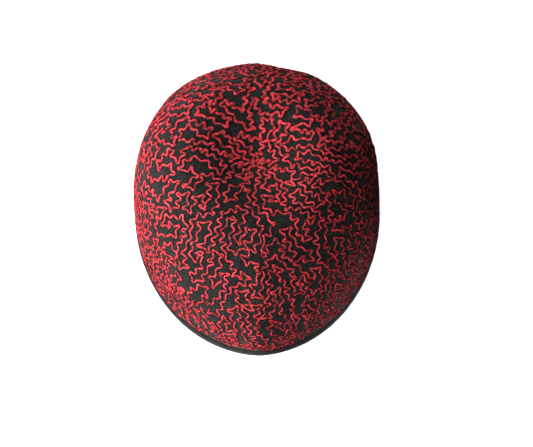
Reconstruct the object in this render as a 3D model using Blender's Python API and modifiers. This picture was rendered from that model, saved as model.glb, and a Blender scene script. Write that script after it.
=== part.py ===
"""Embroidered velvet cap: a seamless soft dome, hollow for the head, with a folded binding round its rim.

Units are metres and +Z is up. The wearer faces -Y. The origin is the middle of the cap's footprint,
on the surface that the cap rests on.
"""

import math

import bmesh
import bpy
from mathutils import Vector

# Driving sizes. The dome's height is what it would be with no dent in its top.
CAP_WIDTH = 0.1680
CAP_LENGTH = 0.2065
DOME_HEIGHT = 0.0960
CROWN_WALL = 0.0022
BINDING_CLOTH = 0.0010
BINDING_HEIGHT = 0.0070
CLEARANCE = 0.0003

# How full the dome is towards each side: 2 is an ellipse, and more is squarer
SIDE_FULLNESS = 3.15
FRONT_FULLNESS = 2.45
BACK_FULLNESS = 1.95
# The share by which the rim is narrower at the front, and wider at the back
FRONT_TAPER = 0.024

# The soft centre fold that the cap keeps from being stored flat: a ridge down the front and the back.
# It stands out by its reach, dies away over its spread to each side, and its crest is softened.
FRONT_FOLD_REACH = 0.0040
BACK_FOLD_REACH = 0.0014
FOLD_SPREAD = 0.0160
FOLD_SOFTNESS = 0.0040
# Shares of the fold: what is left of it at the rim, and where it begins to show towards the sides
FOLD_RIM_SHARE = 0.25
FOLD_SIDE_SHARE = 0.50
# Climbs, from 0 at the rim to 1 at the top: where the fold is full, where it begins to fade, where it ends
FOLD_FULL_CLIMB = 0.20
FOLD_FADE_CLIMB = 0.62
FOLD_END_CLIMB = 0.97

# The round dent that the soft top sinks into, in plan
TOP_DENT_HALF_WIDTH = 0.0520
TOP_DENT_HALF_LENGTH = 0.0550
TOP_DENT_DEPTH = 0.0110

# Shallow hollows pressed into the walls, and swells where the depth is below 0. The bearing is in degrees
# round from the right side towards the back, and the reach is the degrees from there to the hollow's edge.
# The climb and the rise are shares of the wall's height, and the depth is a share of WALL_DENT_DEPTH.
WALL_DENT_DEPTH = 0.0020
WALL_DENTS = (
    {"bearing": -2, "climb": 0.32, "reach": 18, "rise": 0.30, "depth": 0.75},
    {"bearing": -25, "climb": 0.26, "reach": 19, "rise": 0.26, "depth": -0.55},
    {"bearing": 22, "climb": 0.28, "reach": 18, "rise": 0.26, "depth": -0.45},
    {"bearing": 74, "climb": 0.36, "reach": 16, "rise": 0.20, "depth": 0.70},
    {"bearing": 150, "climb": 0.30, "reach": 20, "rise": 0.24, "depth": 0.30},
    {"bearing": 214, "climb": 0.34, "reach": 16, "rise": 0.22, "depth": 0.55},
    {"bearing": 246, "climb": 0.26, "reach": 14, "rise": 0.24, "depth": -0.45},
)

# How finely the dome and the binding's round corners are divided
SEGMENTS = 64
RINGS = 20
CORNER_SEGMENTS = 3

SEAT_HEIGHT = BINDING_CLOTH + CLEARANCE
BINDING_REACH = BINDING_CLOTH + CLEARANCE


def bump(distance):
    """A smooth hump: 1 at its middle and 0 from a distance of 1 outwards."""
    return 0.5 + 0.5 * math.cos(math.pi * min(1.0, distance))


def smooth_step(low, high, value):
    """0 below low, 1 above high and a smooth S between."""
    share = min(1.0, max(0.0, (value - low) / (high - low)))
    return share * share * (3.0 - 2.0 * share)


def fold_reach(bearing):
    """How far the fold's crest stands out at the end that the bearing faces."""
    return FRONT_FOLD_REACH if math.sin(bearing) < 0 else BACK_FOLD_REACH


def centre_fold(bearing, climb, across):
    """How far the centre fold pushes a point of the wall out towards its end."""
    softened = math.hypot(across, FOLD_SOFTNESS) - FOLD_SOFTNESS
    reach = fold_reach(bearing) * math.exp(-softened / FOLD_SPREAD)
    grown = FOLD_RIM_SHARE + (1 - FOLD_RIM_SHARE) * smooth_step(0.0, FOLD_FULL_CLIMB, climb)
    faded = 1 - smooth_step(FOLD_FADE_CLIMB, FOLD_END_CLIMB, climb)
    towards_end = smooth_step(0.0, FOLD_SIDE_SHARE, abs(math.sin(bearing)))
    return math.copysign(reach * grown * faded * towards_end, math.sin(bearing))


def rim_point(bearing):
    """The crown's outer wall at the rim, in plan and before its dents, at a bearing in radians."""
    half_width = CAP_WIDTH / 2 - BINDING_REACH
    half_length = CAP_LENGTH / 2 - BINDING_REACH - fold_reach(bearing) * FOLD_RIM_SHARE
    taper = 1 + FRONT_TAPER * math.sin(bearing)
    return Vector((half_width * taper * math.cos(bearing), half_length * math.sin(bearing)))


def fullness(bearing):
    """The dome's fullness at a bearing, blended between the side and the end it faces."""
    end = FRONT_FULLNESS if math.sin(bearing) < 0 else BACK_FULLNESS
    turn = math.sin(bearing) ** 2
    return SIDE_FULLNESS * (1 - turn) + end * turn


def wall_dent(bearing, climb):
    """How far the wall's hollows press it in at a bearing in radians."""
    depth = 0.0
    for dent in WALL_DENTS:
        turn = (math.degrees(bearing) - dent["bearing"] + 180) % 360 - 180
        distance = math.hypot(turn / dent["reach"], (climb - dent["climb"]) / dent["rise"])
        depth += dent["depth"] * WALL_DENT_DEPTH * bump(distance)
    return depth


def top_dent(across, along):
    """How far the top sinks at a place in plan."""
    return TOP_DENT_DEPTH * bump(math.hypot(across / TOP_DENT_HALF_WIDTH, along / TOP_DENT_HALF_LENGTH))


def crown_point(bearing, climb):
    """A point of the crown's outer surface: bearing in radians, climb from 0 at the rim to 1 at the top."""
    slope = climb * math.pi / 2
    power = fullness(bearing)
    stretch = (math.cos(slope) ** power + math.sin(slope) ** power) ** (-1 / power)
    spread = math.cos(slope) * stretch
    height = SEAT_HEIGHT + (DOME_HEIGHT - SEAT_HEIGHT) * math.sin(slope) * stretch
    rim = rim_point(bearing)
    place = rim * spread - rim.normalized() * wall_dent(bearing, climb)
    place.y += centre_fold(bearing, climb, place.x)
    return Vector((place.x, place.y, height - top_dent(place.x, place.y)))


def new_collection(name):
    collection = bpy.data.collections.new(name)
    bpy.context.scene.collection.children.link(collection)
    return collection


def cloth_material(name, colour, roughness):
    """A matt cloth with a Principled surface."""
    material = bpy.data.materials.new(name)
    material.use_nodes = True
    surface = material.node_tree.nodes["Principled BSDF"]
    surface.inputs["Base Color"].default_value = (*colour, 1.0)
    surface.inputs["Roughness"].default_value = roughness
    surface.inputs["Metallic"].default_value = 0.0
    return material


def make_crown(collection, material):
    """The dome: the upper half of a sphere's mesh, each point moved to the cap's form, then given its wall."""
    bm = bmesh.new()
    bmesh.ops.create_uvsphere(bm, u_segments=SEGMENTS, v_segments=2 * RINGS, radius=1.0)
    half_ring = math.sin(math.pi / 4 / RINGS)
    lower_half = [vert for vert in bm.verts if vert.co.z < -half_ring]
    bmesh.ops.delete(bm, geom=lower_half, context="VERTS")
    for vert in bm.verts:
        bearing = math.atan2(vert.co.y, vert.co.x)
        slope = math.asin(min(1.0, max(0.0, vert.co.z)))
        vert.co = crown_point(bearing, slope / (math.pi / 2))
    mesh = bpy.data.meshes.new("crown")
    bm.to_mesh(mesh)
    bm.free()
    mesh.shade_smooth()
    crown = bpy.data.objects.new("crown", mesh)
    crown.data.materials.append(material)
    collection.objects.link(crown)
    wall = crown.modifiers.new("wall", "SOLIDIFY")
    wall.thickness = CROWN_WALL
    wall.offset = -1.0
    wall.use_even_offset = True


def binding_section():
    """The folded binding's section: a U that holds the crown's edge, with y up.

    It is worked out with x outwards from the crown's outer wall, and handed over with x inwards,
    which is how a sweep takes it.
    """
    outer = BINDING_REACH
    inner = -CROWN_WALL - BINDING_REACH
    groove_outer = CLEARANCE
    groove_inner = -CROWN_WALL - CLEARANCE
    radius = BINDING_CLOTH
    points = [(groove_outer, BINDING_HEIGHT), (groove_outer, BINDING_CLOTH)]
    points += [(groove_inner, BINDING_CLOTH), (groove_inner, BINDING_HEIGHT), (inner, BINDING_HEIGHT)]
    for centre, start in ((inner + radius, math.pi), (outer - radius, 1.5 * math.pi)):
        for step in range(CORNER_SEGMENTS + 1):
            turn = start + step * math.pi / 2 / CORNER_SEGMENTS
            points.append((centre + radius * math.cos(turn), radius + radius * math.sin(turn)))
    points.append((outer, BINDING_HEIGHT))
    return [(-x, y) for x, y in points]


def closed_curve(name, points):
    """A flat closed curve, straight from each point to the next."""
    curve = bpy.data.curves.new(name, "CURVE")
    curve.dimensions = "2D"
    curve.fill_mode = "NONE"
    spline = curve.splines.new("POLY")
    spline.points.add(len(points) - 1)
    for place, point in zip(spline.points, points):
        place.co = (*point, 0.0, 1.0)
    spline.use_cyclic_u = True
    return bpy.data.objects.new(name, curve)


def make_binding(collection, guides, material):
    """The cloth tape folded over the crown's edge: its section swept round the rim."""
    section = closed_curve("binding_section", binding_section())
    section.hide_render = True
    section.display_type = "WIRE"
    guides.objects.link(section)
    bearings = [2 * math.pi * step / SEGMENTS for step in range(SEGMENTS)]
    sweep = closed_curve("binding_sweep", [crown_point(bearing, 0.0).xy for bearing in bearings])
    sweep.data.bevel_mode = "OBJECT"
    sweep.data.bevel_object = section
    guides.objects.link(sweep)
    bpy.context.view_layer.update()
    evaluated = sweep.evaluated_get(bpy.context.evaluated_depsgraph_get())
    mesh = bpy.data.meshes.new_from_object(evaluated)
    mesh.name = "binding"
    mesh.materials.clear()
    mesh.materials.append(material)
    binding = bpy.data.objects.new("binding", mesh)
    binding.matrix_world = sweep.matrix_world
    collection.objects.link(binding)
    bpy.data.objects.remove(sweep)


def main():
    for existing in list(bpy.data.objects):
        bpy.data.objects.remove(existing)
    cap = new_collection("velvet_cap")
    guides = new_collection("guides")
    velvet = cloth_material("black_velvet", (0.012, 0.012, 0.013), 0.9)
    tape = cloth_material("black_binding", (0.016, 0.016, 0.017), 0.8)
    make_crown(cap, velvet)
    make_binding(cap, guides, tape)


main()
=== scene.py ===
"""The look of an embroidered velvet cap: velvet, a folded binding and meandering chain stitch.

Units are metres and +Z is up. The wearer faces -Y. The crown and the binding keep the places of
their solids, and the stitches lie on the crown.
"""

import math
import random

import bmesh
import bpy
import numpy as np
from mathutils import Matrix, Vector, noise
from mathutils.kdtree import KDTree


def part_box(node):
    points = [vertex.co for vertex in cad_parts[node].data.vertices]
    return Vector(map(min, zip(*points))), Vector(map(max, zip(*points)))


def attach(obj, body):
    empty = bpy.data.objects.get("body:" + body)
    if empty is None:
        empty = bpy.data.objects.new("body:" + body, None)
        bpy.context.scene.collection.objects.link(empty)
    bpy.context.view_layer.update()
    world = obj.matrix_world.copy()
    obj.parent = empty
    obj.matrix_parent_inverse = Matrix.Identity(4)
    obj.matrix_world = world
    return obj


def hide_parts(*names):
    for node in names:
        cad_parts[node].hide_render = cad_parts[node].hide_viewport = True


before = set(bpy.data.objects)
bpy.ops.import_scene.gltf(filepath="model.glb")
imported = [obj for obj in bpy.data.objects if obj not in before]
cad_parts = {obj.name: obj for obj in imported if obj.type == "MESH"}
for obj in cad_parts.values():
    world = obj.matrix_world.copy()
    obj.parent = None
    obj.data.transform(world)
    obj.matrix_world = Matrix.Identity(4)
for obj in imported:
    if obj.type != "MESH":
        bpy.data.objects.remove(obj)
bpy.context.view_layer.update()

# The photograph's frame and the camera: its height above the horizon, its distance from the point
# that it was fitted at, that point's pixel, and the scale there in pixels a metre
FRAME_WIDTH = 533
FRAME_HEIGHT = 447
CAMERA_ELEVATION = math.radians(66)
CAMERA_DISTANCE = 1.0
CAMERA_ROLL = math.radians(-1.2)
SIGHT_POINT = Vector((0.0, 0.0, 0.040))
SIGHT_PIXEL = (256.8, 188.7)
PIXELS_PER_METRE = 1509.5
SENSOR_WIDTH = 36.0

# The crown's form: the same named sizes as its solid, and its outline from the binding's box.
# The dome's height is what it would be with no dent in its top.
binding_low, binding_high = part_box("binding")
CROWN_WALL = 0.0022
BINDING_CLOTH = 0.0010
CLEARANCE = 0.0003
BINDING_HEIGHT = binding_high[2]
BINDING_REACH = BINDING_CLOTH + CLEARANCE
SEAT_HEIGHT = BINDING_CLOTH + CLEARANCE
HALF_WIDTH = (binding_high[0] - binding_low[0]) / 2 - BINDING_REACH
HALF_LENGTH = (binding_high[1] - binding_low[1]) / 2 - BINDING_REACH
DOME_HEIGHT = 0.0960
SIDE_FULLNESS = 3.15
FRONT_FULLNESS = 2.45
BACK_FULLNESS = 1.95
FRONT_TAPER = 0.024

# The soft centre fold down the front and the back
FRONT_FOLD_REACH = 0.0040
BACK_FOLD_REACH = 0.0014
FOLD_SPREAD = 0.0160
FOLD_SOFTNESS = 0.0040
FOLD_RIM_SHARE = 0.25
FOLD_SIDE_SHARE = 0.50
FOLD_FULL_CLIMB = 0.20
FOLD_FADE_CLIMB = 0.62
FOLD_END_CLIMB = 0.97

# The dent in the top, and the hollows and swells of the walls. A bearing is in degrees round from the
# right side towards the back, and a climb, a rise and a depth are shares.
TOP_DENT_HALF_WIDTH = 0.0520
TOP_DENT_HALF_LENGTH = 0.0550
TOP_DENT_DEPTH = 0.0110
WALL_DENT_DEPTH = 0.0020
WALL_DENTS = (
    {"bearing": -2, "climb": 0.32, "reach": 18, "rise": 0.30, "depth": 0.75},
    {"bearing": -25, "climb": 0.26, "reach": 19, "rise": 0.26, "depth": -0.55},
    {"bearing": 22, "climb": 0.28, "reach": 18, "rise": 0.26, "depth": -0.45},
    {"bearing": 74, "climb": 0.36, "reach": 16, "rise": 0.20, "depth": 0.70},
    {"bearing": 150, "climb": 0.30, "reach": 20, "rise": 0.24, "depth": 0.30},
    {"bearing": 214, "climb": 0.34, "reach": 16, "rise": 0.22, "depth": 0.55},
    {"bearing": 246, "climb": 0.26, "reach": 14, "rise": 0.24, "depth": -0.45},
)

# The embroidery is laid out on an even dome. Its front wall is lower by a share, up to about a height,
# and the direction out of the cloth is taken from a point on its middle line. A place's bearing and its
# height are each found in a few rounds. The last three numbers are the step that a slope is measured
# over, and the lengths that a division may not go below.
FRONT_SQUASH = 0.40
SQUASH_HEIGHT = 0.045
DOME_MIDDLE = np.array([0.0, 0.0, 0.02])
BEARING_ROUNDS = 3
HEIGHT_ROUNDS = 10
SLOPE_STEP = 0.002
NEARLY_NOTHING = 1e-6
NO_LENGTH = 1e-12

# The scattered points that the embroidery winds between: how many places are tried, the step that an area
# is measured over, how far apart the points are, the shares by which that is more at the back and less on
# the low wall, and how high the lowest point is. The ring of border points lies below them all.
SEED = 13
TRIED_PLACES = 30000
AREA_STEP = 0.004
POINT_SPACING = 0.0087
BACK_OPENNESS = 0.14
BACK_FROM, BACK_TO = -0.03, 0.05
WALL_CLOSENESS = 0.09
LOW_WALL_FROM, LOW_WALL_TO = 0.040, 0.075
LOWEST_POINT = 0.0100
BORDER_HEIGHT = 0.0015
BORDER_SPACING = POINT_SPACING * 0.9

# The trees that neighbouring points are joined into: how many points one holds, the least limit that one
# may be given, and how much its branches run up the dome and not round it, with what the low wall adds to
# that and the heights where this fades
SHORTEST_TREE = 6
LONGEST_TREE = 22
LEAST_LIMIT = 5
RADIAL_LEANING = 0.60
WALL_LEANING = 0.60
LEANING_FROM, LEANING_TO = 0.015, 0.060

# The line round each tree: its spline's shares and its points' spacing and least number. The zigzag along
# it: its half wave and its reach, how much either may vary, and how far off the line's way is measured.
SPLINE_SHARES = np.arange(0, 1, 0.1)
LINE_SPACING = 0.0005
LEAST_POINTS = 8
HALF_WAVE = 0.0033
WAVE_VARIATION = (0.7, 1.35)
ZIGZAG_REACH = 0.0019
REACH_VARIATION = (0.5, 1.4)
LOOK_AHEAD = 0.001

# How the zigzags ease apart: the lengths of their stretches, how far each turn stands out, the room that
# they keep, the least opening from a turn to the next but one, how strongly each acts, and the plain strip
# above the binding
STRETCH_LENGTHS = (0.0034, 0.0066)
SWAYS = (0.0017, 0.0047)
ROOM = 0.0036
LEAST_OPENING = 0.0044
SETTLING_ROUNDS = 30
ROOM_PUSH = 0.10
STRETCH_PULL = 0.20
BEND_PULL = 0.40
OPENING_PUSH = 0.35
LONGEST_MOVE = 0.0006
PLAIN_STRIP = 0.0001

# The rounding of the turns: the half length of a tip and its most as a share of the opening, and how much
# of the turn's reach is lost. A few sharp ends swell into an open loop: those with less than an opening and
# more than a reach, with the loop's radius, the share that swell, and how far in the loop's middle is.
HALF_TIP = 0.00062
TIP_SHARE = 0.16
TIP_LOSS = 0.14
LOOP_OPENING = 0.0062
LOOP_REACH = 0.0022
LOOP_RADIUS = 0.00115
LOOP_SHARE = 0.09
LOOP_DRAWN_IN = 0.4
LOOP_TURNS = np.radians([-144, -72, 0, 72, 144])[:, None]

# The chain stitches: their sizes, the shares by which they vary, and the strand's plies and their twist
# from step to step. They are fuller at the back and on the left of the front, and finer on the right.
# A strand's thickness takes only a share of that, and its loop stands in strand radii.
STITCH_LENGTH = 0.00165
STITCH_WIDTH = 0.00146
WIDTH_VARIATION = (0.80, 1.25)
STRAND_RADIUS = 0.00032
RADIUS_VARIATION = (0.88, 1.12)
STRAND_SIDES = 4
STRAND_STEPS = 9
STRAND_TWIST = 0.36
PLIES = 2
STRAND_SHARE = 0.46
STRAND_STANDING = 1.25
RING_ANGLES = (np.arange(STRAND_SIDES) + 0.5) * 2 * np.pi / STRAND_SIDES
STITCH_LEAN = 0.15
STITCH_LIFT = (-0.10, 0.65)
BACK_FULLER = 0.76
LEFT_FULLER = 0.30
RIGHT_FINER = 0.12
LEFT_FROM, LEFT_TO = 0.03, 0.080
RIGHT_TO = 0.075
SECTORS = ("right", "back_right", "back_left", "left", "front_left", "front_right")

# One chain stitch's loop, in shares: how far its steps crowd together at its end, the middle and half of
# its length, its width and height at the neck where it starts, and what they gain and lose along it, each
# between two places
STITCH_CROWDING = 0.25
STITCH_MIDDLE = 0.51
STITCH_HALF_LENGTH = 0.62
NECK_WIDTH = 0.34
GAINED_WIDTH = 0.68
NECK_HEIGHT = 0.10
GAINED_HEIGHT = 1.05
LOST_HEIGHT = 0.30
WIDENING = (0.0, 0.8)
RISING = (-0.1, 0.55)
SINKING = (0.8, 1.15)

# Each stitch's tone and painted shading, which its material turns into a red: the mean, how the tone varies
# at random from stitch to stitch, how the painted shade lifts along the stitch from its tail, painted
# darker where it goes into the pile, where it is full grown and the growth at its mean, and how much
# lighter the strand's top and its flank inside the loop are painted, with its underside and outer flank
# painted as much darker
SHADE_MEAN = 0.28
SHADE_VARIATION = 0.30
PAINTED_SHADE_GROWTH = 0.85
PAINTED_SHADE_GROWN = 0.85
PAINTED_SHADE_HALF_GROWN = 0.6
PAINTED_TOP_LIGHT = 0.12
PAINTED_FLANK_SHADE = 0.62

# The velvet: how finely it is divided, how high its topmost ring is and the bearing that its peak is
# worked out at, its soft unevenness, and how it sinks under the stitches. Both fade out towards the rim,
# between two heights in shares of the binding's.
ROUND_STEPS = 480
CLIMB_STEPS = 112
INNER_STEPS = 24
TOP_CLIMB = 0.985
PEAK_BEARING = 0.5
UNEVEN_DEPTH = 0.00045
UNEVEN_SIZE = 0.026
SINK_DEPTH = 0.00040
SINK_REACH = 0.0024
FADE_FROM, FADE_TO = 0.4, 1.6

# The binding: how far its outer top edge is pressed in, and its puckers' and waves' sizes. Its section has
# steps up its faces, turns round its edges and its folds underneath, and parts that pucker more or less.
PRESSED = 0.00062
PUCKER_DEPTH = 0.00018
PUCKER_SIZE = 0.0045
WAVE_HEIGHT = 0.00035
WAVE_SIZE = 0.017
WAVE_SHIFT = Vector((3, 1, 2))
OUTER_STEPS = 8
INNER_FACE_STEPS = 5
EDGE_TURNS = (0.5, 1.1, 1.6, 2.2, 2.7)
INNER_FOLD_TURNS = (1.15 * math.pi, 1.3 * math.pi, 1.5 * math.pi)
OUTER_FOLD_TURNS = (1.5 * math.pi, 1.7 * math.pi, 1.85 * math.pi)
OUTER_LOOSE = 1.0
OUTER_EDGE_LOOSE = 0.6
INNER_LOOSE = 0.5
INNER_EDGE_LOOSE = 0.4

# The stage: the floor's half width, the backdrop round it, and each lamp's name, place, width and power
FLOOR_HALF_WIDTH = 6.0
BACKDROP_RADIUS = 5.5
BACKDROP_HEIGHT = 8.0
BACKDROP_SEGMENTS = 96
BACKDROP_BELOW_FLOOR = 0.1
LAMPS = (
    ("key", (-1.28, -0.20, 0.40), 0.8, 37.0),
    ("front_fill", (-0.35, -1.25, 0.56), 0.7, 17.0),
    ("top_fill", (-0.40, 1.25, 0.85), 0.9, 14.5),
)


def smooth_step(low, high, value):
    """0 below low, 1 above high and a smooth S between."""
    share = np.clip((value - low) / (high - low), 0.0, 1.0)
    return share * share * (3.0 - 2.0 * share)


def bump(distance):
    """A smooth hump: 1 at its middle and 0 from a distance of 1 outwards."""
    return 0.5 + 0.5 * np.cos(np.pi * np.minimum(1.0, distance))


def squash(bearing, z):
    """How much lower the front wall is in the even dome that the embroidery is laid out on.

    The embroidery is drawn out along the front wall by as much.
    """
    facing = np.clip(-np.sin(bearing), 0.0, 1.0) ** 2
    return FRONT_SQUASH * facing * SQUASH_HEIGHT * (1 - np.exp(-np.maximum(z, 0.0) / SQUASH_HEIGHT))


def crown_surface(bearing, climb, dents=True):
    """Points of the crown's outside: bearing in radians, climb from 0 at the rim to 1 at the top.

    Without its dents it is the smooth dome that the embroidery is laid out on.
    """
    sine, cosine = np.sin(bearing), np.cos(bearing)
    front = sine < 0
    fold = np.where(front, FRONT_FOLD_REACH, BACK_FOLD_REACH)
    turn = sine ** 2
    power = SIDE_FULLNESS * (1 - turn) + np.where(front, FRONT_FULLNESS, BACK_FULLNESS) * turn
    slope = np.clip(climb, 0.0, 1.0) * np.pi / 2
    stretch = (np.cos(slope) ** power + np.sin(slope) ** power) ** (-1 / power)
    spread = np.cos(slope) * stretch
    rim_x = HALF_WIDTH * (1 + FRONT_TAPER * sine) * cosine
    rim_y = (HALF_LENGTH - fold * FOLD_RIM_SHARE) * sine
    x, y = rim_x * spread, rim_y * spread
    z = SEAT_HEIGHT + (DOME_HEIGHT - SEAT_HEIGHT) * np.sin(slope) * stretch
    if not dents:
        return np.stack([x, y, z - squash(bearing, z)], -1)
    pressed = np.zeros_like(x)
    for dent in WALL_DENTS:
        off = (np.degrees(bearing) - dent["bearing"] + 180) % 360 - 180
        distance = np.hypot(off / dent["reach"], (climb - dent["climb"]) / dent["rise"])
        pressed += dent["depth"] * WALL_DENT_DEPTH * bump(distance)
    rim_reach = np.hypot(rim_x, rim_y)
    x, y = x - rim_x / rim_reach * pressed, y - rim_y / rim_reach * pressed
    softened = np.hypot(x, FOLD_SOFTNESS) - FOLD_SOFTNESS
    grown = FOLD_RIM_SHARE + (1 - FOLD_RIM_SHARE) * smooth_step(0.0, FOLD_FULL_CLIMB, climb)
    faded = 1 - smooth_step(FOLD_FADE_CLIMB, FOLD_END_CLIMB, climb)
    towards_end = smooth_step(0.0, FOLD_SIDE_SHARE, np.abs(sine))
    y = y + np.sign(sine) * fold * np.exp(-softened / FOLD_SPREAD) * grown * faded * towards_end
    sunk = TOP_DENT_DEPTH * bump(np.hypot(x / TOP_DENT_HALF_WIDTH, y / TOP_DENT_HALF_LENGTH))
    return np.stack([x, y, z - sunk], -1)


def crown_place(points):
    """The bearing and climb of points on or near the dome before its folds and dents."""
    x, y, z = points[:, 0], points[:, 1], points[:, 2]
    bearing = np.arctan2(y / HALF_LENGTH, x / HALF_WIDTH)
    for _ in range(BEARING_ROUNDS):
        fold = np.where(np.sin(bearing) < 0, FRONT_FOLD_REACH, BACK_FOLD_REACH)
        length = HALF_LENGTH - fold * FOLD_RIM_SHARE
        width = HALF_WIDTH * (1 + FRONT_TAPER * np.sin(bearing))
        bearing = np.arctan2(y / length, x / width)
    across = np.hypot(x / width, y / length)
    height = z
    for _ in range(HEIGHT_ROUNDS):
        height = z + squash(bearing, height)
    up = (height - SEAT_HEIGHT) / (DOME_HEIGHT - SEAT_HEIGHT)
    return bearing, np.arctan2(up, across) / (np.pi / 2)


def smooth_dome(points):
    """Points near the dome, brought onto it before its folds and dents."""
    bearing, climb = crown_place(points)
    return crown_surface(bearing, climb, dents=False)


def dress(points):
    """Places and outward normals on the finished crown, for points on the smooth dome."""
    bearing, climb = crown_place(points)
    climb = np.clip(climb, 0.0, 1.0 - SLOPE_STEP)
    place = crown_surface(bearing, climb)
    round_way = crown_surface(bearing + SLOPE_STEP, climb) - crown_surface(bearing - SLOPE_STEP, climb)
    up_way = crown_surface(bearing, climb + SLOPE_STEP) - crown_surface(bearing, climb - SLOPE_STEP)
    normal = np.cross(round_way, up_way)
    return place, normal / np.linalg.norm(normal, axis=1, keepdims=True)


def unit(vectors):
    """The same directions with a length of 1. A vector of no length stays as it is."""
    return vectors / np.maximum(np.linalg.norm(vectors, axis=-1, keepdims=True), NO_LENGTH)


def backness(points):
    """0 in the front half and 1 towards the back, where the embroidery is bolder and more open."""
    return smooth_step(BACK_FROM, BACK_TO, points[:, 1])


def scattered_points(rng):
    """Points spread evenly but without order over the embroidered part of the smooth dome."""
    bearing = rng.uniform(0, 2 * np.pi, TRIED_PLACES)
    climb = rng.uniform(0, 1, TRIED_PLACES)
    here = crown_surface(bearing, climb, False)
    round_way = crown_surface(bearing + AREA_STEP, climb, False) - here
    up_way = crown_surface(bearing, np.minimum(climb + AREA_STEP, 1), False) - here
    area = np.linalg.norm(np.cross(round_way, up_way), axis=1)
    keep = rng.uniform(0, 1, len(area)) < area / area.max()
    candidates = crown_surface(bearing[keep], climb[keep], False)
    candidates = candidates[dress(candidates)[0][:, 2] > LOWEST_POINT]
    low_wall = 1 - smooth_step(LOW_WALL_FROM, LOW_WALL_TO, candidates[:, 2])
    spacing = POINT_SPACING * (1 + BACK_OPENNESS * backness(candidates) - WALL_CLOSENESS * low_wall)
    chosen = np.empty((0, 3))
    for candidate, least in zip(candidates, spacing):
        if len(chosen) and np.min(np.sum((chosen - candidate) ** 2, axis=1)) < least ** 2:
            continue
        chosen = np.vstack([chosen, candidate])
    return chosen


def border_points():
    """A ring of points round the rim, which the line keeps above."""
    count = int(2 * np.pi * (HALF_WIDTH + HALF_LENGTH) / 2 / BORDER_SPACING)
    bearing = np.arange(count) * 2 * np.pi / count
    ring = crown_surface(bearing, np.zeros(count), False)
    ring[:, 2] = BORDER_HEIGHT
    return ring


def triangulated(points, inner):
    """The triangles between neighbouring points, found on a ball that the dome is spread over.

    The points from the number inner onwards are the border's, and no triangle of theirs alone is kept.
    """
    bearing, climb = crown_place(points)
    slope = climb * np.pi / 2
    ball = np.stack([np.cos(slope) * np.cos(bearing), np.cos(slope) * np.sin(bearing), np.sin(slope)], 1)
    bm = bmesh.new()
    verts = [bm.verts.new(place) for place in ball]
    index = {vert: number for number, vert in enumerate(verts)}
    bmesh.ops.convex_hull(bm, input=verts)
    bm.normal_update()
    triangles = []
    for face in bm.faces:
        corners = [index[vert] for vert in face.verts]
        if min(corners) >= inner:
            continue
        if face.normal.dot(face.calc_center_median()) < 0:
            corners.reverse()
        triangles.append(tuple(corners))
    bm.free()
    return triangles


def random_trees(points, inner, triangles, draw):
    """Joins neighbouring inner points into trees, mostly along the climb, and gives the joined pairs.

    A first round joins them up to their limits, and a second joins on what is still too small.
    """
    edges = set()
    for a, b, c in triangles:
        for first, second in ((a, b), (b, c), (c, a)):
            if first < inner and second < inner:
                edges.add((min(first, second), max(first, second)))
    weighted = []
    for first, second in sorted(edges):
        along = Vector(points[second] - points[first]).normalized()
        middle = Vector((points[first] + points[second]) / 2)
        outward = Vector((middle.x, middle.y, 0.0))
        round_way = Vector((-outward.y, outward.x, 0.0)).normalized()
        climbing = 1 - abs(along.dot(round_way))
        low = 1 - float(smooth_step(LEANING_FROM, LEANING_TO, middle.z))
        leaning = RADIAL_LEANING + WALL_LEANING * low
        weighted.append((draw.random() - leaning * climbing, first, second))
    weighted.sort()
    root = list(range(inner))
    size = [1] * inner
    limit = [draw.randint(LEAST_LIMIT, LONGEST_TREE) for _ in range(inner)]

    def top_of(vertex):
        while root[vertex] != vertex:
            root[vertex] = root[root[vertex]]
            vertex = root[vertex]
        return vertex

    joined = set()
    for mending in (False, True):
        for _, first, second in weighted:
            a, b = top_of(first), top_of(second)
            small = min(size[a], size[b]) < SHORTEST_TREE
            fits = size[a] + size[b] <= max(limit[a], limit[b])
            if a == b or not (small if mending else fits):
                continue
            root[b] = a
            size[a] += size[b]
            limit[a] = max(limit[a], limit[b])
            joined.add((first, second))
            joined.add((second, first))
    return joined


def outlines(points, inner, triangles, joined):
    """The closed lines that run round each tree, halfway to the middles of the triangles beside it."""
    owner = {}
    for number, (a, b, c) in enumerate(triangles):
        for first, second in ((a, b), (b, c), (c, a)):
            owner[(first, second)] = number
    middles = np.array([points[list(triangle)].mean(axis=0) for triangle in triangles])
    corners = set()
    for number, triangle in enumerate(triangles):
        corners.update((corner, number) for corner in triangle if corner < inner)
    lines = []
    for start in sorted(corners):
        if start not in corners:
            continue
        line = []
        corner = start
        while corner in corners:
            corners.discard(corner)
            vertex, number = corner
            line.append(0.5 * (points[vertex] + middles[number]))
            triangle = triangles[number]
            following = triangle[(triangle.index(vertex) + 2) % 3]
            if (vertex, following) in joined:
                corner = (following, number)
            else:
                corner = (vertex, owner[(vertex, following)])
        lines.append(np.array(line))
    return lines


def spline_through(points):
    """A closed smooth line through points, by the Catmull-Rom rule, as evenly spaced points."""
    before, after, beyond = np.roll(points, 1, 0), np.roll(points, -1, 0), np.roll(points, -2, 0)
    pieces = []
    for share in SPLINE_SHARES:
        a = -0.5 * share ** 3 + share ** 2 - 0.5 * share
        b = 1.5 * share ** 3 - 2.5 * share ** 2 + 1
        c = -1.5 * share ** 3 + 2 * share ** 2 + 0.5 * share
        d = 0.5 * share ** 3 - 0.5 * share ** 2
        pieces.append(a * before + b * points + c * after + d * beyond)
    fine = np.stack(pieces, 1).reshape(-1, 3)
    closed = np.vstack([fine, fine[:1]])
    reach = np.concatenate([[0], np.cumsum(np.linalg.norm(np.diff(closed, axis=0), axis=1))])
    count = max(LEAST_POINTS, int(round(reach[-1] / LINE_SPACING)))
    wanted = np.arange(count) * reach[-1] / count
    return np.stack([np.interp(wanted, reach, closed[:, axis]) for axis in range(3)], 1)


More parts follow.
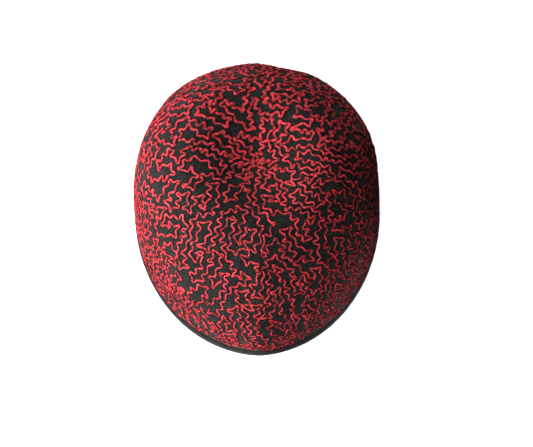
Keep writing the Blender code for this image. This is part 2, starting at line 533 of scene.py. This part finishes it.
def zigzag(line, draw):
    """The turning points of a zigzag that runs along a closed line on the smooth dome."""
    closed = np.vstack([line, line[:1]])
    reach = np.concatenate([[0], np.cumsum(np.linalg.norm(np.diff(closed, axis=0), axis=1))])
    total = reach[-1]
    turns = []
    place = 0.0
    while place < total - HALF_WAVE * WAVE_VARIATION[0]:
        turns.append(place)
        place += HALF_WAVE * draw.uniform(*WAVE_VARIATION)
    if len(turns) % 2:
        turns.pop()
    turns = np.array(turns)

    def along_line(places):
        return np.stack([np.interp(places, reach, closed[:, axis]) for axis in range(3)], 1)

    smooth = along_line(turns)
    along = unit(along_line((turns + LOOK_AHEAD) % total) - along_line((turns - LOOK_AHEAD) % total))
    side = unit(np.cross(unit(smooth - DOME_MIDDLE), along))
    sway = np.array([draw.uniform(*REACH_VARIATION) for _ in turns])
    sway[::2] *= -1
    return smooth + side * sway[:, None] * ZIGZAG_REACH


def crowding(points, ahead, behind):
    """Which way, and how far, each turning point is pushed by other stretches of line in its room."""
    count = len(points)
    samples = np.vstack([points, (points + points[ahead]) / 2])
    tree = KDTree(2 * count)
    for number, sample in enumerate(samples):
        tree.insert(sample, number)
    tree.balance()
    first, second = [], []
    for number, sample in enumerate(samples):
        for _, other, _ in tree.find_range(sample, ROOM):
            if other > number:
                first.append(number)
                second.append(other)
    first, second = np.array(first), np.array(second)
    home, guest = first % count, second % count
    same_stretch = (home == guest) | (ahead[home] == guest) | (ahead[guest] == home)
    same_stretch |= (ahead[ahead[home]] == guest) & (second >= count) & (first >= count)
    first, second = first[~same_stretch], second[~same_stretch]
    apart = samples[first] - samples[second]
    distance = np.linalg.norm(apart, axis=1, keepdims=True)
    push = apart / np.maximum(distance, NEARLY_NOTHING) * (ROOM - distance)
    moved = np.zeros((2 * count, 3))
    np.add.at(moved, first, push)
    np.add.at(moved, second, -push)
    return moved[:count] + 0.5 * moved[count:] + 0.5 * moved[count:][behind]


def kept_above_binding(points):
    """Points on the smooth dome, with those below the embroidery's edge lifted onto it."""
    lowest = BINDING_HEIGHT + PLAIN_STRIP + STITCH_WIDTH / 2
    bearing = crown_place(points)[0]
    edge = lowest - squash(bearing, lowest)
    low = points[:, 2] < edge
    points[low, 2] = edge[low]
    points[low] = smooth_dome(points[low])
    return points


def settled(lines, draw):
    """The turning points, eased apart until the zigzags fill the cloth evenly."""
    starts = np.cumsum([0] + [len(line) for line in lines])
    points = np.vstack(lines)
    count = len(points)
    ahead = np.arange(count) + 1
    ahead[starts[1:] - 1] = starts[:-1]
    behind = np.empty(count, dtype=int)
    behind[ahead] = np.arange(count)
    beyond = ahead[ahead]
    length = np.array([draw.uniform(*STRETCH_LENGTHS) for _ in range(count)])
    sway = np.array([draw.uniform(*SWAYS) for _ in range(count)])
    place_in_line = np.concatenate([np.arange(len(line)) for line in lines])
    sway[place_in_line % 2 == 0] *= -1
    for _ in range(SETTLING_ROUNDS):
        shift = ROOM_PUSH * crowding(points, ahead, behind)
        stretch = points[ahead] - points
        span = np.linalg.norm(stretch, axis=1, keepdims=True)
        pull = stretch / np.maximum(span, NEARLY_NOTHING) * (span - length[:, None]) * STRETCH_PULL
        shift += pull
        shift[ahead] -= pull
        middle = (points[ahead] + points[behind]) / 2
        side = unit(np.cross(unit(points - DOME_MIDDLE), points[ahead] - points[behind]))
        bend = (middle + side * sway[:, None] - points) * BEND_PULL
        shift += bend
        shift[ahead] -= bend / 2
        shift[behind] -= bend / 2
        opening = points[beyond] - points
        span = np.linalg.norm(opening, axis=1, keepdims=True)
        lacking = np.maximum(LEAST_OPENING - span, 0)
        push = opening / np.maximum(span, NEARLY_NOTHING) * lacking * OPENING_PUSH
        shift -= push
        shift[beyond] += push
        reach = np.linalg.norm(shift, axis=1, keepdims=True)
        allowed = np.minimum(1, LONGEST_MOVE / np.maximum(reach, NEARLY_NOTHING))
        points = kept_above_binding(smooth_dome(points + shift * allowed))
    return [points[first:last] for first, last in zip(starts[:-1], starts[1:])]


def rounded(line, draw):
    """A closed line whose every turning point is spread along the line's way into a short flat tip.

    A few of the sharper ends swell into a small open loop instead.
    """
    onward, back = np.roll(line, -1, 0), np.roll(line, 1, 0)
    way = onward - back
    length = np.linalg.norm(way, axis=1, keepdims=True)
    way = way / np.maximum(length, NEARLY_NOTHING)
    middle = (onward + back) / 2
    reach = np.linalg.norm(line - middle, axis=1)
    tips = line + (middle - line) * TIP_LOSS
    outward = unit(line - middle)
    pieces = []
    for number, tip in enumerate(tips):
        sharp = length[number, 0] < LOOP_OPENING and reach[number] > LOOP_REACH
        if sharp and draw.random() < LOOP_SHARE:
            centre = tip - outward[number] * LOOP_RADIUS * LOOP_DRAWN_IN
            ring = np.cos(LOOP_TURNS) * outward[number] + np.sin(LOOP_TURNS) * way[number]
            pieces.append(centre + ring * LOOP_RADIUS)
        else:
            half = way[number] * min(HALF_TIP, length[number, 0] * TIP_SHARE)
            pieces.append(np.stack([tip - half, tip + half]))
    return np.vstack(pieces)


def stitched(line):
    """A closed line, split into whole stitches that end where it turns."""
    place = dress(line)[0]
    length = np.linalg.norm(np.roll(place, -1, 0) - place, axis=1)
    pieces = []
    for start, end, reach in zip(line, np.roll(line, -1, 0), length):
        count = max(1, int(round(reach / STITCH_LENGTH)))
        pieces.append(start + (end - start) * (np.arange(count) / count)[:, None])
    return np.vstack(pieces)


def embroidery_lines():
    """Every line of stitches, as points on the smooth dome."""
    rng = np.random.default_rng(SEED)
    draw = random.Random(SEED)
    scattered = scattered_points(rng)
    points = np.vstack([scattered, border_points()])
    triangles = triangulated(points, len(scattered))
    joined = random_trees(points, len(scattered), triangles, draw)
    lines = []
    for line in outlines(points, len(scattered), triangles, joined):
        smooth = smooth_dome(spline_through(line))
        lines.append(smooth_dome(zigzag(smooth, draw)))
    lines = settled(lines, draw)
    return [smooth_dome(stitched(rounded(line, draw))) for line in lines]


def unevenness(points):
    """How far the soft crown stands in or out at points, from being handled."""
    return np.array([noise.noise(Vector(point) / UNEVEN_SIZE) for point in points]) * UNEVEN_DEPTH


def cloth_points(points, line_tree):
    """Places on the velvet, which sinks towards the stitches, for points on the smooth dome."""
    place, normal = dress(points)
    near = np.array([line_tree.find(point)[2] for point in points])
    puffed = smooth_step(0.0, SINK_REACH, near) - 1
    rise = unevenness(place) + puffed * SINK_DEPTH
    fade = smooth_step(BINDING_HEIGHT * FADE_FROM, BINDING_HEIGHT * FADE_TO, place[:, 2])
    return place + normal * (rise * fade)[:, None]


def mesh_object(name, points, faces, material):
    """An object whose mesh has these points and faces, in the scene and riding on the cap."""
    mesh = bpy.data.meshes.new(name)
    faces = np.asarray(faces, dtype=np.int32)
    count, sides = faces.shape
    mesh.vertices.add(len(points))
    mesh.vertices.foreach_set("co", np.asarray(points, dtype=np.float32).ravel())
    mesh.loops.add(count * sides)
    mesh.loops.foreach_set("vertex_index", faces.ravel())
    mesh.polygons.add(count)
    mesh.polygons.foreach_set("loop_start", np.arange(count, dtype=np.int32) * sides)
    mesh.update(calc_edges=True)
    mesh.validate()
    mesh.shade_smooth()
    mesh.materials.append(material)
    piece = bpy.data.objects.new(name, mesh)
    bpy.context.scene.collection.objects.link(piece)
    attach(piece, "root")
    return piece


def ring_faces(first_row, second_row):
    """Quads between two of the rows of points that go round the cap."""
    here = np.arange(ROUND_STEPS)
    after = (here + 1) % ROUND_STEPS
    first, second = first_row * ROUND_STEPS, second_row * ROUND_STEPS
    return np.stack([first + here, first + after, second + after, second + here], 1)


def make_velvet(line_tree, material):
    """The velvet dome: its outside, its plain inside, and the cut edge between them at the rim."""
    bearing = np.arange(ROUND_STEPS) * 2 * np.pi / ROUND_STEPS
    rows = []
    for climb in np.arange(CLIMB_STEPS) / CLIMB_STEPS * TOP_CLIMB:
        flat = crown_surface(bearing, np.full(ROUND_STEPS, climb), False)
        rows.append(cloth_points(flat, line_tree))
    peak = crown_surface(np.array([PEAK_BEARING]), np.array([1.0]), False)
    outer_top = cloth_points(peak, line_tree)
    inner_rows = []
    for climb in np.linspace(TOP_CLIMB, 0.0, INNER_STEPS):
        place, normal = dress(crown_surface(bearing, np.full(ROUND_STEPS, climb), False))
        inner_rows.append(place + (unevenness(place) - CROWN_WALL)[:, None] * normal)
    inner_rows[-1][:, 2] = SEAT_HEIGHT
    place, normal = dress(peak)
    inner_top = place - normal * CROWN_WALL
    points = np.vstack(rows + inner_rows + [outer_top, inner_top])
    last_outer, last_inner = CLIMB_STEPS - 1, CLIMB_STEPS + INNER_STEPS - 1
    faces = [ring_faces(row, row + 1) for row in range(last_inner) if row != last_outer]
    faces.append(ring_faces(last_inner, 0))
    velvet = mesh_object("crown_velvet", points, np.vstack(faces), material)
    close_tops(velvet, last_outer * ROUND_STEPS, CLIMB_STEPS * ROUND_STEPS, len(points) - 2)
    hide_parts("crown")


def close_tops(velvet, outer_ring, inner_ring, outer_top):
    """Closes the small round openings at the top of the outside and of the inside with a fan each.

    The inside's topmost point comes straight after the outside's.
    """
    bm = bmesh.new()
    bm.from_mesh(velvet.data)
    bm.verts.ensure_lookup_table()
    for step in range(ROUND_STEPS):
        after = (step + 1) % ROUND_STEPS
        outer = (outer_ring + step, outer_ring + after, outer_top)
        inner = (inner_ring + after, inner_ring + step, outer_top + 1)
        for corners in (outer, inner):
            bm.faces.new([bm.verts[corner] for corner in corners]).smooth = True
    bm.to_mesh(velvet.data)
    bm.free()


def stitch_loop():
    """One chain stitch's loop, in shares of its length, its half width and its strand's height."""
    turn = np.arange(STRAND_STEPS) * 2 * np.pi / STRAND_STEPS
    turn = turn + STITCH_CROWDING * np.sin(turn)
    along = STITCH_MIDDLE - STITCH_HALF_LENGTH * np.cos(turn)
    across = np.sin(turn) * (NECK_WIDTH + GAINED_WIDTH * smooth_step(*WIDENING, along))
    height = NECK_HEIGHT + GAINED_HEIGHT * smooth_step(*RISING, along)
    height = height - LOST_HEIGHT * smooth_step(*SINKING, along)
    return along, across, height


def stitch_ends(lines):
    """Where every stitch starts and ends on the sunk velvet, and the way out of the cloth there."""
    starts, ends, normals = [], [], []
    for line in lines:
        place, normal = dress(line)
        place = place + normal * (unevenness(place) - SINK_DEPTH)[:, None]
        starts.append(place)
        ends.append(np.roll(place, -1, 0))
        normals.append(normal + np.roll(normal, -1, 0))
    return np.vstack(starts), np.vstack(ends), unit(np.vstack(normals))


def strand_points(middle, normal, radius):
    """The points round closed strands, each a row of steps in middle with a ring of sides at each step."""
    forward = unit(np.roll(middle, -1, 1) - np.roll(middle, 1, 1))
    outward = unit(np.cross(forward, np.broadcast_to(normal[:, None], forward.shape)))
    upward = np.cross(outward, forward)
    ring = outward[:, :, None] * np.cos(RING_ANGLES)[:, None]
    ring = ring + upward[:, :, None] * np.sin(RING_ANGLES)[:, None]
    points = middle[:, :, None] + ring * radius[:, None, None, None]
    return points.reshape(len(middle), STRAND_STEPS * STRAND_SIDES, 3)


def strand_quads():
    """The quads of one closed strand, and how far its plies have turned at each quad's corners."""
    step, around = np.divmod(np.arange(STRAND_STEPS * STRAND_SIDES), STRAND_SIDES)
    next_step, next_around = (step + 1) % STRAND_STEPS, (around + 1) % STRAND_SIDES
    quads = np.stack([step, next_step, next_step, step], 1) * STRAND_SIDES
    quads += np.stack([around, around, next_around, next_around], 1)
    corner_around = np.stack([around, around, around + 1, around + 1], 1) / STRAND_SIDES
    corner_step = np.stack([step, step + 1, step + 1, step], 1)
    return quads, corner_around + corner_step * STRAND_TWIST


def make_embroidery(lines, material):
    """Every chain stitch, as a closed loop of strand, in one mesh for each sector of the crown."""
    rng = np.random.default_rng(SEED + 1)
    starts, ends, normal = stitch_ends(lines)
    count = len(starts)
    reach = ends - starts
    side = unit(np.cross(normal, reach))
    along, across, height = stitch_loop()
    back = backness(starts)
    right = smooth_step(0.0, RIGHT_TO, starts[:, 0])
    left = smooth_step(LEFT_FROM, LEFT_TO, -starts[:, 0])
    fuller = BACK_FULLER * back - RIGHT_FINER * right + LEFT_FULLER * left * (1 - back)
    half_width = (STITCH_WIDTH / 2 - STRAND_RADIUS) * rng.uniform(*WIDTH_VARIATION, count) * (1 + fuller)
    radius = STRAND_RADIUS * rng.uniform(*RADIUS_VARIATION, count) * (1 + STRAND_SHARE * fuller)
    lean = rng.uniform(-STITCH_LEAN, STITCH_LEAN, count)
    proud = rng.uniform(*STITCH_LIFT, count)
    tone_and_painted_shading = rng.normal(SHADE_MEAN, SHADE_VARIATION, count)
    sideways = half_width[:, None] * (across + lean[:, None] * np.sin(np.pi * along))
    lift = radius[:, None] * (height * STRAND_STANDING + proud[:, None])
    middle = starts[:, None] + reach[:, None] * along[:, None]
    middle = middle + side[:, None] * sideways[..., None] + normal[:, None] * lift[..., None]
    points = strand_points(middle, normal, radius)
    # Painted shade and light: each stitch is painted darker at its tail, where it goes into the pile, and
    # lighter towards its head. Each strand's top and the flank inside its loop are painted lighter, and its
    # underside and outer flank darker.
    tone_and_painted_shading = tone_and_painted_shading[:, None] + PAINTED_SHADE_GROWTH * (smooth_step(0.0, PAINTED_SHADE_GROWN, along) - PAINTED_SHADE_HALF_GROWN)
    tone_and_painted_shading = tone_and_painted_shading[..., None] + PAINTED_TOP_LIGHT * np.sin(RING_ANGLES) + PAINTED_FLANK_SHADE * np.cos(RING_ANGLES)
    quads, ply = strand_quads()
    turn = np.arctan2(starts[:, 1], starts[:, 0]) % (2 * np.pi)
    sector = (turn / (2 * np.pi) * len(SECTORS)).astype(int)
    for number, name in enumerate(SECTORS):
        mine = points[sector == number]
        faces = quads + (np.arange(len(mine)) * STRAND_STEPS * STRAND_SIDES)[:, None, None]
        piece = mesh_object("embroidery_" + name, mine.reshape(-1, 3), faces.reshape(-1, 4), material)
        # Each stitch's random tone together with its painted shade and light, for the thread's material
        tone_and_painted_shading_values = tone_and_painted_shading[sector == number].ravel().astype(np.float32)
        piece.data.attributes.new("tone_and_painted_shading", "FLOAT", "POINT").data.foreach_set("value", tone_and_painted_shading_values)
        plies = np.tile(ply.ravel(), len(mine)).astype(np.float32)
        piece.data.attributes.new("ply", "FLOAT", "CORNER").data.foreach_set("value", plies)


def round_edge(middle, half_sizes, turns, loose):
    """Points of the section along a round edge, at turns in radians from outwards to up."""
    return [(middle[0] + half_sizes[0] * math.cos(turn), middle[1] + half_sizes[1] * math.sin(turn), loose)
            for turn in turns]


def binding_outline():
    """The folded tape's section, from its outer face up over the edge, round the groove and back under.

    x is outwards from the crown's outer wall, y is up, and the last value is how far puckers may move it.
    """
    outer, inner = BINDING_REACH, -CROWN_WALL - BINDING_REACH
    groove_outer, groove_inner = CLEARANCE, -CROWN_WALL - CLEARANCE
    radius = BINDING_CLOTH
    edge = BINDING_CLOTH / 2
    top = BINDING_HEIGHT - edge
    rise = BINDING_HEIGHT - radius - edge
    outside = [(outer - PRESSED * share ** 3, radius + rise * share, OUTER_LOOSE)
               for share in np.linspace(0, 1, OUTER_STEPS)]
    thin = (outer - PRESSED - CLEARANCE) / 2
    outer_edge = round_edge((CLEARANCE + thin, top), (thin, edge), EDGE_TURNS, OUTER_EDGE_LOOSE)
    groove = [(groove_outer, top, 0.0), (groove_outer, radius, 0.0),
              (groove_inner, radius, 0.0), (groove_inner, top, 0.0)]
    inner_edge = round_edge((inner + edge, top), (edge, edge), EDGE_TURNS, INNER_EDGE_LOOSE)
    inside = [(inner, top - rise * share, INNER_LOOSE)
              for share in np.linspace(0, 1, INNER_FACE_STEPS)]
    under = round_edge((inner + radius, radius), (radius, radius), INNER_FOLD_TURNS, 0.0)
    under += round_edge((outer - radius, radius), (radius, radius), OUTER_FOLD_TURNS, 0.0)
    return np.array(outside + outer_edge + groove + inner_edge + inside + under)


def make_binding(material):
    """The binding: a tape folded over the rim, with small puckers where it goes round."""
    bearing = np.arange(ROUND_STEPS) * 2 * np.pi / ROUND_STEPS
    rim = crown_surface(bearing, np.zeros(ROUND_STEPS))
    ahead, behind = np.roll(rim, -1, 0), np.roll(rim, 1, 0)
    along = unit((ahead - behind) * np.array([1, 1, 0]))
    outward = np.stack([along[:, 1], -along[:, 0], np.zeros(ROUND_STEPS)], 1)
    section = binding_outline()
    pucker = np.array([noise.noise(Vector(point) / PUCKER_SIZE) for point in rim])
    wave = np.array([noise.noise(Vector(point) / WAVE_SIZE + WAVE_SHIFT) for point in rim])
    rows = []
    for x, y, loose in section:
        row = rim * np.array([1, 1, 0]) + outward * (x + loose * PUCKER_DEPTH * pucker)[:, None]
        row[:, 2] = y
        if y > BINDING_HEIGHT / 2:
            row[:, 2] += loose * WAVE_HEIGHT * wave * (y / BINDING_HEIGHT)
        rows.append(row)
    faces = [ring_faces(row, (row + 1) % len(rows)) for row in range(len(rows))]
    tape = mesh_object("binding_tape", np.vstack(rows), np.vstack(faces), material)
    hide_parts("binding")


def new_material(name):
    """A material, its nodes and a shorthand that adds a node with values for its inputs."""
    material = bpy.data.materials.new(name)
    material.use_nodes = True
    nodes = material.node_tree.nodes
    links = material.node_tree.links

    def add(kind, **inputs):
        node = nodes.new(kind)
        for key, value in inputs.items():
            node.inputs[key.replace("_", " ")].default_value = value
        return node

    return material, nodes["Principled BSDF"], links, add


def colour_ramp(add, stops):
    """A ramp from one colour to the next, each at its place from 0 to 1."""
    ramp = add("ShaderNodeValToRGB")
    while len(ramp.color_ramp.elements) < len(stops):
        ramp.color_ramp.elements.new(0.5)
    for element, (place, colour) in zip(ramp.color_ramp.elements, stops):
        element.position = place
        element.color = (*colour, 1.0)
    return ramp


def weighted_sum(add, links, parts):
    """The sum of some outputs, each times its weight."""
    total = None
    for output, weight in parts:
        step = add("ShaderNodeMath")
        step.operation = "MULTIPLY_ADD"
        links.new(output, step.inputs[0])
        step.inputs[1].default_value = weight
        step.inputs[2].default_value = 0.0
        if total is not None:
            links.new(total, step.inputs[2])
        total = step.outputs[0]
    return total


def velvet_material():
    """Black cotton velvet: a deep dark pile with a soft sheen, and a nap that lies unevenly."""
    material, surface, links, add = new_material("black_velvet_pile")
    place = add("ShaderNodeTexCoord").outputs["Object"]
    nap = add("ShaderNodeTexNoise", Scale=120.0, Detail=3.0, Roughness=0.55)
    tuft = add("ShaderNodeTexNoise", Scale=1000.0, Detail=2.0, Roughness=0.6)
    pile = add("ShaderNodeTexNoise", Scale=3400.0, Detail=2.0, Roughness=0.7)
    for texture in (nap, tuft, pile):
        links.new(place, texture.inputs["Vector"])
    mixed = weighted_sum(add, links, [(nap.outputs["Fac"], 0.14), (tuft.outputs["Fac"], 0.46),
                                      (pile.outputs["Fac"], 0.70)])
    ramp = colour_ramp(add, [(0.48, (0.0008, 0.0010, 0.0010)), (0.64, (0.0058, 0.0062, 0.0061)),
                             (0.80, (0.048, 0.050, 0.048))])
    links.new(mixed, ramp.inputs["Fac"])
    links.new(ramp.outputs["Color"], surface.inputs["Base Color"])
    fine = add("ShaderNodeBump", Strength=0.6, Distance=0.00025)
    links.new(pile.outputs["Fac"], fine.inputs["Height"])
    soft = add("ShaderNodeBump", Strength=0.35, Distance=0.0008)
    links.new(nap.outputs["Fac"], soft.inputs["Height"])
    links.new(fine.outputs["Normal"], soft.inputs["Normal"])
    links.new(soft.outputs["Normal"], surface.inputs["Normal"])
    surface.inputs["Roughness"].default_value = 0.92
    surface.inputs["Specular IOR Level"].default_value = 0.12
    surface.inputs["Sheen Weight"].default_value = 0.17
    surface.inputs["Sheen Roughness"].default_value = 0.42
    surface.inputs["Sheen Tint"].default_value = (0.78, 0.80, 0.78, 1.0)
    return material


def thread_material():
    """Red silk: soft gloss along its twisted strands, each stitch a little lighter or darker at random,
    with painted shade on the strands' tails, undersides and outer flanks and painted highlights on their
    tops.
    """
    material, surface, links, add = new_material("red_silk_thread")
    place = add("ShaderNodeTexCoord").outputs["Object"]
    dye = add("ShaderNodeTexNoise", Scale=90.0, Detail=3.0, Roughness=0.6)
    fibre = add("ShaderNodeTexNoise", Scale=5200.0, Detail=2.0, Roughness=0.6)
    links.new(place, dye.inputs["Vector"])
    links.new(place, fibre.inputs["Vector"])
    # The stitches' random tone together with their painted shade and painted light
    tone_and_painted_shading_node = add("ShaderNodeAttribute")
    tone_and_painted_shading_node.attribute_name = "tone_and_painted_shading"
    twist = add("ShaderNodeAttribute")
    twist.attribute_name = "ply"
    phase = add("ShaderNodeMath")
    phase.operation = "MULTIPLY"
    phase.inputs[1].default_value = 2 * math.pi * PLIES
    links.new(twist.outputs["Fac"], phase.inputs[0])
    ridge = add("ShaderNodeMath")
    ridge.operation = "SINE"
    links.new(phase.outputs[0], ridge.inputs[0])
    tone_with_painted_shading = weighted_sum(add, links, [(dye.outputs["Fac"], 0.6), (tone_and_painted_shading_node.outputs["Fac"], 1.0),
                                     (ridge.outputs[0], 0.07)])
    # The ramp's deep end is painted shade on the strands' tails, undersides and outer flanks, and its pale
    # pink end is a painted highlight on their tops
    ramp = colour_ramp(add, [(0.20, (0.066, 0.0004, 0.0015)), (0.66, (0.33, 0.0022, 0.0065)),
                             (1.0, (0.94, 0.050, 0.074))])
    links.new(tone_with_painted_shading, ramp.inputs["Fac"])
    links.new(ramp.outputs["Color"], surface.inputs["Base Color"])
    relief = weighted_sum(add, links, [(ridge.outputs[0], 0.5), (fibre.outputs["Fac"], 0.6)])
    bump_node = add("ShaderNodeBump", Strength=0.55, Distance=0.00007)
    links.new(relief, bump_node.inputs["Height"])
    links.new(bump_node.outputs["Normal"], surface.inputs["Normal"])
    surface.inputs["Roughness"].default_value = 0.30
    surface.inputs["Specular IOR Level"].default_value = 0.38
    surface.inputs["Sheen Weight"].default_value = 0.03
    surface.inputs["Sheen Roughness"].default_value = 0.4
    surface.inputs["Sheen Tint"].default_value = (1.0, 0.62, 0.64, 1.0)
    return material


def tape_material():
    """The binding's black cloth: a fine plain weave, a little greyer in soft random patches of wear."""
    material, surface, links, add = new_material("black_binding_cloth")
    place = add("ShaderNodeTexCoord").outputs["Object"]
    weave = add("ShaderNodeTexVoronoi", Scale=2600.0)
    wear = add("ShaderNodeTexNoise", Scale=260.0, Detail=5.0, Roughness=0.65)
    links.new(place, weave.inputs["Vector"])
    links.new(place, wear.inputs["Vector"])
    ramp = colour_ramp(add, [(0.35, (0.0045, 0.0046, 0.0045)), (0.62, (0.009, 0.009, 0.009)),
                             (0.85, (0.022, 0.021, 0.020))])
    links.new(wear.outputs["Fac"], ramp.inputs["Fac"])
    links.new(ramp.outputs["Color"], surface.inputs["Base Color"])
    bump_node = add("ShaderNodeBump", Strength=0.5, Distance=0.0002)
    links.new(weave.outputs["Distance"], bump_node.inputs["Height"])
    links.new(bump_node.outputs["Normal"], surface.inputs["Normal"])
    surface.inputs["Roughness"].default_value = 0.8
    surface.inputs["Specular IOR Level"].default_value = 0.15
    surface.inputs["Sheen Weight"].default_value = 0.15
    surface.inputs["Sheen Roughness"].default_value = 0.5
    return material


def make_camera():
    """The camera at the photograph's angle, turned so that the sight point falls on its pixel."""
    back = Vector((0, -math.cos(CAMERA_ELEVATION), math.sin(CAMERA_ELEVATION)))
    up = Vector((0, math.sin(CAMERA_ELEVATION), math.cos(CAMERA_ELEVATION)))
    right = Vector((1, 0, 0))
    rolled_right = right * math.cos(CAMERA_ROLL) + up * math.sin(CAMERA_ROLL)
    rolled_up = up * math.cos(CAMERA_ROLL) - right * math.sin(CAMERA_ROLL)
    focal = PIXELS_PER_METRE * CAMERA_DISTANCE
    off_right = (FRAME_WIDTH / 2 - SIGHT_PIXEL[0]) / focal
    off_down = (FRAME_HEIGHT / 2 - SIGHT_PIXEL[1]) / focal
    ahead = (rolled_right * off_right - rolled_up * off_down - back).normalized()
    sideways = ahead.cross(rolled_up).normalized()
    camera = bpy.data.objects.new("camera", bpy.data.cameras.new("camera"))
    bpy.context.scene.collection.objects.link(camera)
    turned = Matrix((sideways, sideways.cross(ahead), -ahead)).transposed().to_4x4()
    turned.translation = SIGHT_POINT + back * CAMERA_DISTANCE
    camera.matrix_world = turned
    camera.data.sensor_width = SENSOR_WIDTH
    camera.data.lens = focal * SENSOR_WIDTH / FRAME_WIDTH
    camera.data.clip_start = 0.01
    bpy.context.scene.camera = camera


def area_light(name, place, size, power):
    """A round lamp that faces the cap."""
    light = bpy.data.lights.new(name, "AREA")
    light.shape = "DISK"
    light.size = size
    light.energy = power
    lamp = bpy.data.objects.new(name, light)
    lamp.location = place
    direction = SIGHT_POINT - Vector(place)
    lamp.rotation_euler = direction.to_track_quat("-Z", "Y").to_euler()
    bpy.context.scene.collection.objects.link(lamp)


def make_stage():
    """A plain pale floor and backdrop, a soft key light from the left and two weaker fills."""
    mesh = bpy.data.meshes.new("floor")
    bm = bmesh.new()
    bmesh.ops.create_grid(bm, x_segments=1, y_segments=1, size=FLOOR_HALF_WIDTH)
    bm.to_mesh(mesh)
    bm.free()
    floor = bpy.data.objects.new("floor", mesh)
    bpy.context.scene.collection.objects.link(floor)
    material, surface = new_material("pale_floor")[:2]
    surface.inputs["Base Color"].default_value = (0.88, 0.88, 0.88, 1.0)
    surface.inputs["Roughness"].default_value = 0.9
    surface.inputs["Emission Color"].default_value = (1.0, 1.0, 1.0, 1.0)
    surface.inputs["Emission Strength"].default_value = 0.85
    mesh.materials.append(material)
    backdrop_mesh = bpy.data.meshes.new("backdrop")
    bm = bmesh.new()
    bmesh.ops.create_cone(bm, cap_ends=False, segments=BACKDROP_SEGMENTS, radius1=BACKDROP_RADIUS,
                          radius2=BACKDROP_RADIUS, depth=BACKDROP_HEIGHT)
    middle_height = BACKDROP_HEIGHT / 2 - BACKDROP_BELOW_FLOOR
    bmesh.ops.translate(bm, vec=(0.0, 0.0, middle_height), verts=bm.verts)
    bm.to_mesh(backdrop_mesh)
    bm.free()
    backdrop_mesh.shade_smooth()
    backdrop_mesh.materials.append(material)
    backdrop = bpy.data.objects.new("backdrop", backdrop_mesh)
    bpy.context.scene.collection.objects.link(backdrop)
    for stage in (floor, backdrop):
        stage.visible_diffuse = False
        stage.visible_glossy = False
    backdrop.visible_shadow = False
    for name, place, size, power in LAMPS:
        area_light(name, place, size, power)
    world = bpy.data.worlds.new("studio")
    world.use_nodes = True
    background = world.node_tree.nodes["Background"]
    background.inputs["Color"].default_value = (1.0, 1.0, 1.0, 1.0)
    background.inputs["Strength"].default_value = 0.07
    bpy.context.scene.world = world
    bpy.context.scene.view_settings.view_transform = "Standard"


def main():
    """The camera and the stage first, then the embroidery's lines, and the cap round them."""
    make_camera()
    make_stage()
    lines = embroidery_lines()
    dense = np.vstack([line * (1 - share) + np.roll(line, -1, 0) * share
                       for line in lines for share in (0.0, 0.5)])
    line_tree = KDTree(len(dense))
    for number, point in enumerate(dense):
        line_tree.insert(point, number)
    line_tree.balance()
    make_velvet(line_tree, velvet_material())
    make_embroidery(lines, thread_material())
    make_binding(tape_material())


main()
